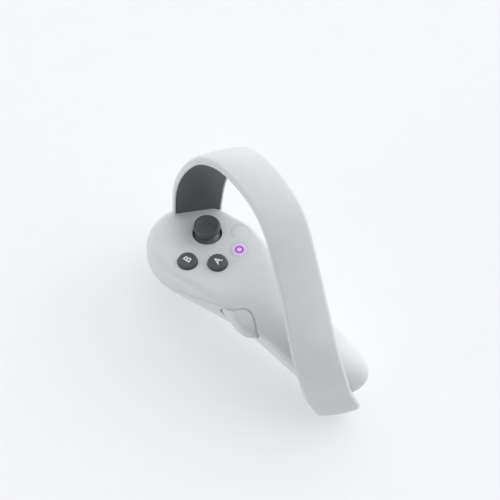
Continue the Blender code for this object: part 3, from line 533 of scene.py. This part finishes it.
def body_point(row_y, across, upper, grow=0.0):
    """A point of the skin: across runs from -1 at the left seam to 1 at the right seam."""
    middle, half, skew, end = body_row(row_y, grow)
    x = middle + half * across
    y = row_y - skew * x
    seam = read_curve(SEAM, y)
    from_edge = half * (1 - abs(across))
    full = half
    if row_y > HEAD_Y:
        full = HEAD_HALF + grow
        ahead = (row_y - HEAD_Y) / (HEAD_LONG + grow)
        from_edge = full * max(1 - math.hypot(half * across / full, ahead), 0.0)
    if upper:
        rightness = 0.5 + 0.5 * half * across / full
        rim = RIM_LEFT + (RIM_RIGHT - RIM_LEFT) * rightness + min(grow, 0.0)
        width = rim + (full - rim) * read_curve(TOP_ROUND, row_y)
        rise = (read_curve(TOP, y) + grow - seam) * end
    else:
        width = full
        rise = (read_curve(BOTTOM, y) - grow - seam) * end
    power = TOP_POWER if upper else LOWER_POWER
    return Vector((x, y, seam + rise * quarter(from_edge / width, power)))


def row_stations(count_head, count_handle, grow=0.0):
    rows = [HEAD_Y + (HEAD_LONG + grow) * math.sin(math.radians(89.3 * (1 - i / count_head)))
            for i in range(count_head)]
    last = BUTT_Y + (0.05 - grow) / -BUTT_NORMAL.y
    for i in range(count_handle + 1):
        rows.append(HEAD_Y + (last - HEAD_Y) * math.sin(i / count_handle * math.pi / 2) ** 1.15)
    return rows


def skin_grid(upper, rows, columns, grow):
    stations = row_stations(*rows, grow)
    spread = [-math.cos(math.pi * i / columns) for i in range(columns + 1)]
    nose = [body_point(stations[0], a, upper, grow) for a in spread]
    tail = [body_point(stations[-1], a, upper, grow) for a in spread]
    for point in nose:
        point.y += 0.02
        point.z = read_curve(SEAM, point.y)
    for point in tail:
        point += BUTT_NORMAL * 0.04
        point.z = read_curve(SEAM, point.y)
    return [nose] + [[body_point(y, a, upper, grow) for a in spread] for y in stations] + [tail]


def edge_loop(grid):
    right = [row[-1] for row in grid[1:-1]]
    left = [row[0] for row in reversed(grid[1:-1])]
    return grid[0] + right + list(reversed(grid[-1])) + left


def half_shell(name, upper):
    """One half of the casing, with an inner skin and a rim along the seam."""
    rows, columns = (30, 72), 56
    shift = Vector((0, 0, SEAM_GAP / 2 * (1 if upper else -1)))
    bm = bmesh.new()
    skins = []
    for grow in (0.0, -SHELL_WALL):
        lines = skin_grid(upper, rows, columns, grow)
        skins.append([[bm.verts.new(point + shift) for point in line] for line in lines])
    for grid in skins:
        for near, far in zip(grid, grid[1:]):
            for i in range(columns):
                bm.faces.new((near[i], near[i + 1], far[i + 1], far[i]))
    outer, inner = [edge_loop(grid) for grid in skins]
    count = len(outer)
    for i in range(count):
        bm.faces.new((outer[i], outer[(i + 1) % count], inner[(i + 1) % count], inner[i]))
    return mesh_from(name, bm)


def body_solid(grow):
    """The whole body as one closed solid, for trimming the ring against it."""
    columns = 32
    spread = [-math.cos(math.pi * i / columns) for i in range(columns + 1)]
    bm = bmesh.new()
    loops = []
    for row_y in row_stations(20, 50, grow):
        upper = [body_point(row_y, a, True, grow) for a in spread]
        lower = [body_point(row_y, a, False, grow) for a in reversed(spread[1:-1])]
        loops.append([bm.verts.new(p) for p in upper + lower])
    count = len(loops[0])
    for near, far in zip(loops, loops[1:]):
        for i in range(count):
            bm.faces.new((near[i], near[(i + 1) % count], far[(i + 1) % count], far[i]))
    bm.faces.new(loops[0])
    bm.faces.new(list(reversed(loops[-1])))
    return mesh_from("body", bm)


def lower_skin(x, y):
    """The casing's underside above a plan position on the handle."""
    row_y = y
    for _ in range(12):
        middle, half, skew, _end = body_row(row_y)
        row_y = y + skew * x
    across = min(max((x - middle) / half, -1.0), 1.0)
    return body_point(row_y, across, False)


def left_skin_x(y, z):
    """How far left the casing reaches at a place on its side."""
    low, high = -1.0, 0.0
    upper = z > read_curve(SEAM, y)
    for _ in range(24):
        across = (low + high) / 2
        point = body_point(y, across, upper)
        if (point.z > z) == upper:
            high = across
        else:
            low = across
    return body_point(y, (low + high) / 2, upper).x


# ---------------------------------------------------------------- casing

def make_top_casing():
    mesh = half_shell("top_casing", True)
    tools = [drum(STICK_HOLE, STICK + Vector((0, 0, -6)), STICK + Vector((0, 0, 5)), 96)]
    for place, radius in ((BUTTON_A, BUTTON_RADIUS + LETTER_GAP), (BUTTON_B, BUTTON_RADIUS + LETTER_GAP),
                          (CAPTURE, FLUSH_RADIUS + FLUSH_GAP), (HOME, FLUSH_RADIUS + FLUSH_GAP)):
        tools.append(drum(radius, place + Vector((0, 0, -6)), place + Vector((0, 0, 5)), 96))
    tools.append(grip_opening())
    add_piece("top_casing", carve(mesh, tools), pale(), "casing", ["top_shell"])


def make_lower_casing():
    mesh = half_shell("lower_casing", False)
    cover_y = (COVER_FRONT_Y + COVER_REAR_Y) / 2
    bay_length = COVER_FRONT_Y - COVER_REAR_Y + 3 * GAP + COVER_LEAN
    tools = [
        block((TRIGGER_WIDTH + 1.6, 22.4, 20.0), (TRIGGER_PIN.x, TRIGGER_PIN.y - 4.9, -28.0), 2.0),
        block((2 * COVER_HALF + 3 * GAP, bay_length, 36.0),
              (BAY_X, cover_y - COVER_LEAN / 2, read_curve(BOTTOM, cover_y) + 5.0), 2.0),
        grip_opening(),
    ]
    for x, y in BOSSES:
        tools.append(drum(SCREW_HEAD_BORE, (x, y, -60.0), (x, y, -20.0), 32))
    add_piece("lower_casing", carve(mesh, tools), pale(), "casing", ["bottom_shell"])


def cover_flat_height(y):
    front, rear = read_curve(BOTTOM, COVER_FRONT_Y), read_curve(BOTTOM, COVER_REAR_Y)
    share = (COVER_FRONT_Y - y) / (COVER_FRONT_Y - COVER_REAR_Y)
    return front + (rear - front) * share + COVER_FLAT


def make_cover():
    """Battery cover with a row of finger ribs near its front edge."""
    rows, columns = 90, 48
    bm = bmesh.new()
    skins = []
    for wall in (0.0, SHELL_WALL):
        grid = []
        for i in range(rows + 1):
            y = COVER_FRONT_Y + (COVER_REAR_Y - COVER_FRONT_Y) * i / rows
            line = []
            for j in range(columns + 1):
                across = 2 * j / columns - 1
                spot = lower_skin(BAY_X + COVER_HALF * across, y)
                spot.z = max(spot.z, cover_flat_height(spot.y)) + wall
                line.append(bm.verts.new(spot))
            grid.append(line)
        for near, far in zip(grid, grid[1:]):
            for j in range(columns):
                bm.faces.new((near[j], near[j + 1], far[j + 1], far[j]))
        skins.append(grid)
    outer, inner = [grid[0] + [row[-1] for row in grid[1:-1]] + grid[-1][::-1]
                    + [row[0] for row in grid[1:-1]][::-1] for grid in skins]
    count = len(outer)
    for i in range(count):
        bm.faces.new((outer[i], outer[(i + 1) % count], inner[(i + 1) % count], inner[i]))
    mesh = mesh_from("cover_panel", bm)
    grooves = []
    for k in range(4):
        y = COVER_FRONT_Y - 5.0 - 2.2 * k
        z = cover_flat_height(y) - 0.45
        grooves.append(drum(0.9, (BAY_X - 6.0, y, z), (BAY_X + 6.0, y, z), 24))
    add_piece("cover_panel", carve(mesh, grooves), pale(), "cover", ["battery_cover"])


# ---------------------------------------------------------------- ring

def ring_frame(t):
    """Middle, width direction and outward direction of the band."""
    middle = catmull(RING_PATH, t)
    scale = read_curve(RING_WIDTH, t) / RING_HALF
    ahead = catmull(RING_PATH, min(t + 0.004, 1.0)) - catmull(RING_PATH, max(t - 0.004, 0.0))
    turn = math.radians(read_curve(RING_TURN, t))
    width = Vector((math.cos(turn), math.sin(turn), 0.0))
    outward = ahead.normalized().cross(width).normalized()
    return middle, width * scale, outward


def sweep(name, section, shares, shrink=None):
    """Carry a section of (across, outward) points along the ring; shrink rounds its left and right edges."""
    bm = bmesh.new()
    loops = []
    for t in shares:
        middle, width, outward = ring_frame(t)
        left, right = shrink(t) if shrink else (0.0, 0.0)
        loop = []
        for x, y in section:
            across = math.copysign(max(abs(x) - (left if x < 0 else right), 0.0), x)
            level = y - math.copysign(min(right, abs(y - 0.3)), y - 0.3)
            loop.append(bm.verts.new(middle + width * across + outward * level))
        loops.append(loop)
    count = len(section)
    for near, far in zip(loops, loops[1:]):
        for i in range(count):
            bm.faces.new((near[i], near[(i + 1) % count], far[(i + 1) % count], far[i]))
    bm.faces.new(loops[0])
    bm.faces.new(list(reversed(loops[-1])))
    return mesh_from(name, bm)


def make_ring():
    """White band, crowned outside with soft rims, and the dark window let into its inside."""
    crown = []
    arc = 28
    for i in range(arc + 1):
        x = RING_HALF * (2 * i / arc - 1)
        edge = max(abs(x) - (RING_HALF - 1.6), 0.0) / 1.6
        crown.append((x * (1 - 0.02 * edge), 3.0 - 1.2 * (x / RING_HALF) ** 2 - 0.9 * edge ** 2.5))
    rim = rounded([(RING_HALF, 0.6, 0.5), (RING_HALF - 0.3, -1.8, 0.8), (RING_HALF - 0.7, -2.4, 0.5),
                   (11.9, -2.4, 0.3), (11.9, 0.9, 0.0)], segments=4)
    section = crown + rim + [(-x, y) for x, y in reversed(rim)]
    end = 0.03

    def soft_end(t):
        into = max(t - (1 - end), 0.0) / end
        curve = 1 - math.sqrt(max(1 - into * into, 0.0))
        return 7.5 * curve, 2.0 * curve

    shares = [i / 220 * (1 - end) for i in range(221)]
    shares += [1 - end + end * math.sin(i / 10 * math.pi / 2) for i in range(1, 11)]
    band = carve(sweep("ring_band", section, shares, soft_end), [body_solid(0.12)])
    add_piece("ring_band", band, pale(), "casing", ["ring_outer_shell"], 50)
    strip = rounded([(-11.75, -2.25, 0.5), (11.75, -2.25, 0.5), (11.75, -1.2, 0.0), (-11.75, -1.2, 0.0)],
                    closed=True)
    shares = [WINDOW_END * i / 180 for i in range(181)]
    glass = carve(sweep("ring_window", strip, shares), [body_solid(0.12)])
    add_piece("ring_window", glass, window_look(), "casing", ["ring_inner_window"])


# ---------------------------------------------------------------- controls

def make_thumbstick():
    """Cap with a dished, rimmed top and a knurled side, over its smooth dome."""
    profile = [(0, 6.3, 0), (3.4, 6.45, 4), (5.4, 7.0, 1.5), (6.5, 7.5, 0.8), (7.3, 7.2, 0.8),
               (7.7, 6.3, 0.8), (7.7, 4.7, 0.8), (7.0, 3.6, 0.8), (5.2, 3.35, 0.8), (2.0, 3.3, 0.4),
               (2.0, -16.5, 0.3), (0, -16.5, 0)]
    mesh = lathe("stick_cap", rounded(profile), STICK, 144)
    for vertex in mesh.vertices:
        offset = vertex.co - STICK
        radius = math.hypot(offset.x, offset.y)
        if radius > 7.35 and 4.4 < offset.z < 6.8:
            turn = math.atan2(offset.y, offset.x)
            vertex.co.x -= offset.x / radius * 0.12 * (1 + math.cos(turn * 48)) / 2
            vertex.co.y -= offset.y / radius * 0.12 * (1 + math.cos(turn * 48)) / 2
    add_piece("stick_cap", mesh, dark_grip(), "stick_cap", ["thumbstick_cap"])
    outer, inner = 12.7, 11.5
    first = math.asin(2.4 / outer)
    last = math.radians(54)
    arc = [(outer * math.sin(a), -12.0 + outer * math.cos(a))
           for a in [first + (last - first) * i / 24 for i in range(25)]]
    arc += [(max(inner * math.sin(a), 2.4), -12.0 + inner * math.cos(a))
            for a in [last + (first - last) * i / 24 for i in range(25)]]
    add_piece("stick_ball", lathe("stick_ball", arc, STICK, 96, closed=True),
              grained("ball_look", (0.15, 0.155, 0.165), 0.26, 150.0, 0.05, 0.05), "tilting_dome",
              ["stick_dome"])


DOME = [(0, 2.8, 0), (3.4, 2.7, 6), (4.85, 2.45, 0.6), (5.35, 1.9, 0.5), (BUTTON_RADIUS, 0.3, 0.3)]


def make_letter_button(name, letter, place, body, cad_node):
    r = BUTTON_RADIUS
    profile = DOME + [(r, -2.4, 0), (r + 1.2, -2.4, 0), (r + 1.2, -3.4, 0), (2.0, -3.4, 0),
                      (2.0, -4.0, 0), (0, -4.0, 0)]
    add_piece(name, lathe(name, rounded(profile), place), dark_grip(), body, [cad_node])
    words = bpy.data.curves.new("letter", 'FONT')
    words.body = letter
    words.size = 6.1
    words.align_x = 'CENTER'
    words.align_y = 'CENTER'
    words.extrude = 0.2
    words.offset = 0.06
    holder = bpy.data.objects.new("letter", words)
    bpy.context.scene.collection.objects.link(holder)
    bpy.context.view_layer.update()
    mesh = bpy.data.meshes.new_from_object(holder.evaluated_get(bpy.context.evaluated_depsgraph_get()))
    bpy.data.objects.remove(holder, do_unlink=True)
    middle_x = (max(v.co.x for v in mesh.vertices) + min(v.co.x for v in mesh.vertices)) / 2
    middle_y = (max(v.co.y for v in mesh.vertices) + min(v.co.y for v in mesh.vertices)) / 2
    line = rounded(DOME)
    for vertex in mesh.vertices:
        x, y = vertex.co.x - middle_x, vertex.co.y - middle_y
        height = read_curve(line[:-1], math.hypot(x, y))
        vertex.co = place + Vector((x, y, height + (0.12 if vertex.co.z > 0 else -0.2)))
    add_piece(f"letter_{letter.lower()}", mesh, letter_ink(), body, ())


def make_flush_button(name, place, body, cad_node, look, groove):
    r = FLUSH_RADIUS
    top = [(0, 0.25, 0)]
    if groove:
        inner, outer = LIGHT_RADIUS - 0.5, LIGHT_RADIUS + 0.5
        top += [(inner, 0.25, 0.1), (inner, -0.9, 0), (outer, -0.9, 0), (outer, 0.22, 0.1)]
    profile = top + [(r - 0.2, 0.15, 0.15), (r, 0.0, 0.1), (r, -3.2, 0), (r + 0.4, -3.2, 0),
                     (r + 0.4, -3.8, 0), (2.0, -3.8, 0), (2.0, -4.6, 0), (0, -4.6, 0)]
    add_piece(name, lathe(name, rounded(profile), place), look, body, [cad_node])


def make_glow():
    inner, outer = LIGHT_RADIUS - 0.45, LIGHT_RADIUS + 0.45
    profile = rounded([(outer, 0.32, 0.15), (outer, -0.6, 0), (inner, -0.6, 0), (inner, 0.32, 0.15)],
                      closed=True)
    mesh = lathe("home_glow", profile, HOME, 72, closed=True)
    add_piece("home_glow", mesh, violet_light(), "button_home", ["home_light_ring"])


# ---------------------------------------------------------------- levers

def make_trigger():
    """Curved trigger with a hollow front for the finger and soft edges.

    Known fault: the carve below leaves only a sliver at the pin, so the trigger doesn't show.
    """
    side = [(4.4, 1.0), (5.2, -3.5), (4.8, -8.0), (2.4, -12.5), (0.4, -16.5), (0.6, -19.5),
            (-1.2, -21.6), (-3.8, -21.2), (-6.4, -17.5), (-8.6, -13.5), (-9.4, -10.8), (-7.0, -9.6),
            (-3.6, -8.6), (-3.2, -1.0), (-2.0, 2.7), (1.2, 3.4)]
    outline = [Vector((TRIGGER_PIN.y + y, TRIGGER_PIN.z + z))
               for y, z in rounded([(y, z, 9.0) for y, z in side], closed=True, segments=6)]
    count = len(outline)
    normals = []
    for i in range(count):
        tangent = (outline[(i + 1) % count] - outline[i - 1]).normalized()
        normals.append(Vector((tangent.y, -tangent.x)))
    area = sum(outline[i].x * outline[(i + 1) % count].y - outline[(i + 1) % count].x * outline[i].y
               for i in range(count))
    side_sign = 1.0 if area > 0 else -1.0
    half, soft = TRIGGER_WIDTH / 2, 1.8
    turns = [i / 8 * math.pi / 2 for i in range(9)]
    stations = [(half - soft * (1 - math.sin(turn)), soft * (1 - math.cos(turn))) for turn in turns]
    stations = [(-x, inset) for x, inset in reversed(stations)] + stations
    bm = bmesh.new()
    loops = []
    for x, inset in stations:
        loops.append([bm.verts.new((TRIGGER_PIN.x + x, *(p - n * side_sign * inset)))
                      for p, n in zip(outline, normals)])
    for near, far in zip(loops, loops[1:]):
        for i in range(count):
            bm.faces.new((near[i], near[(i + 1) % count], far[(i + 1) % count], far[i]))
    bm.faces.new(loops[0])
    bm.faces.new(list(reversed(loops[-1])))
    px, py, pz = TRIGGER_PIN
    tools = [drum(1.4, (px - 12, py, pz), (px + 12, py, pz), 32),
             block((5.4, 11.0, 10.0), (px, py, pz + 1.2))]
    mesh = carve(mesh_from("trigger_body", bm), tools)
    add_piece("trigger_body", mesh, pale(), "trigger_lever", ["trigger"])


def grip_outline(scale, count=96):
    """Rounded outline of the grip lever, narrower towards its front tip, as (y, z) points."""
    points = []
    for i in range(count):
        angle = 2 * math.pi * i / count
        along_y = GRIP_LENGTH / 2 * math.cos(angle) * scale
        narrow = 1.0 - GRIP_TAPER * max(along_y / (GRIP_LENGTH / 2), 0.0) ** 1.5
        up = GRIP_HEIGHT / 2 * math.copysign(abs(math.sin(angle)) ** 0.85, math.sin(angle)) * scale
        points.append((GRIP_CENTRE_Y + along_y, GRIP_CENTRE_Z + up * narrow + GRIP_SLOPE * along_y))
    return points


def grip_opening():
    """Cutter for the opening in the casing's left side that the grip lever moves in."""
    bm = bmesh.new()
    loops = [[bm.verts.new((x, y, z)) for y, z in grip_outline(GRIP_CLEARANCE)] for x in (-36.0, -14.0)]
    count = len(loops[0])
    for i in range(count):
        bm.faces.new((loops[0][i], loops[0][(i + 1) % count], loops[1][(i + 1) % count], loops[1][i]))
    bm.faces.new(loops[0])
    bm.faces.new(list(reversed(loops[1])))
    return mesh_from("opening", bm)


def make_grip():
    """Swelling fin that stands out of the handle's left side."""
    bm = bmesh.new()
    rings = 16
    wall = Vector((GRIP_WALL, 0, 0))
    middle = Vector((left_skin_x(GRIP_CENTRE_Y, GRIP_CENTRE_Z) - GRIP_PROUD, GRIP_CENTRE_Y, GRIP_CENTRE_Z))
    loops = []
    for ring in range(1, rings + 1):
        share = math.sin(ring / rings * math.pi / 2)
        loop = []
        for y, z in grip_outline(share):
            rearward = min(max((GRIP_CENTRE_Y + GRIP_LENGTH / 2 - y) / GRIP_LENGTH, 0.0), 1.0)
            lift = GRIP_PROUD * math.sqrt(max(1 - share ** 2.6, 0.0)) * math.sin(rearward * 2.2)
            skin = left_skin_x(y, z)
            loop.append(Vector((skin - lift + 0.6 * share ** 4, y, z)))
        loops.append(loop)
    count = len(loops[0])
    rims = []
    for depth in (Vector(), wall):
        centre = bm.verts.new(middle + depth)
        skins = [[bm.verts.new(point + depth) for point in loop] for loop in loops]
        for i in range(count):
            bm.faces.new((centre, skins[0][i], skins[0][(i + 1) % count]))
        for near, far in zip(skins, skins[1:]):
            for i in range(count):
                bm.faces.new((near[i], far[i], far[(i + 1) % count], near[(i + 1) % count]))
        rims.append(skins[-1])
    outer, inner = rims
    for i in range(count):
        bm.faces.new((outer[i], outer[(i + 1) % count], inner[(i + 1) % count], inner[i]))
    gx, gy, gz = GRIP_PIN
    outside = left_skin_x(gy, gz) + GRIP_WALL * 0.6
    boss = block((gx + 1.8 - outside, 3.2, 4.0), ((gx + 1.8 + outside) / 2, gy, gz))
    mesh = carve(mesh_from("grip_fin", bm), [boss], 'UNION')
    mesh = carve(mesh, [drum(1.2, (gx, gy, gz - 6), (gx, gy, gz + 6), 32)])
    add_piece("grip_fin", mesh, pale(), "grip_lever", ["grip_button"])


def dress_inner_pieces():
    """Procedural finishes for the solids that stay as the model has them."""
    looks = {
        "steel": grained("steel_look", (0.55, 0.56, 0.58), 0.3, 400.0, 0.06, 0.1, 1.0),
        "inner_plastic": grained("inner_plastic_look", (0.10, 0.10, 0.11), 0.55, 150.0, 0.06, 0.2),
        "circuit_board": grained("circuit_board_look", (0.02, 0.11, 0.05), 0.45, 350.0, 0.25, 0.1),
        "cell_wrap": grained("cell_wrap_look", (0.10, 0.24, 0.15), 0.35, 120.0, 0.08, 0.03),
        "violet_light": violet_light(),
        "dark_plastic": dark_grip(),
        "infrared_window": window_look(),
        "pale_plastic": pale(),
    }
    slots = {entry["node"]: entry["material_slot"] for entry in frame["record"]["subparts"]}
    for name, cad in frame["nodes"].items():
        cad.data.materials.clear()
        cad.data.materials.append(looks[slots[name]])


make_camera()
make_studio()
dress_inner_pieces()
make_top_casing()
make_lower_casing()
make_cover()
make_ring()
make_thumbstick()
make_letter_button("button_a_cap", "A", BUTTON_A, "button_a", "a_button")
make_letter_button("button_b_cap", "B", BUTTON_B, "button_b", "b_button")
make_flush_button("capture_cap", CAPTURE, "button_capture", "capture_button", pale(), False)
make_flush_button("home_cap", HOME, "button_home", "home_button", plastic_with_painted_glow(), True)
make_glow()
make_trigger()
make_grip()
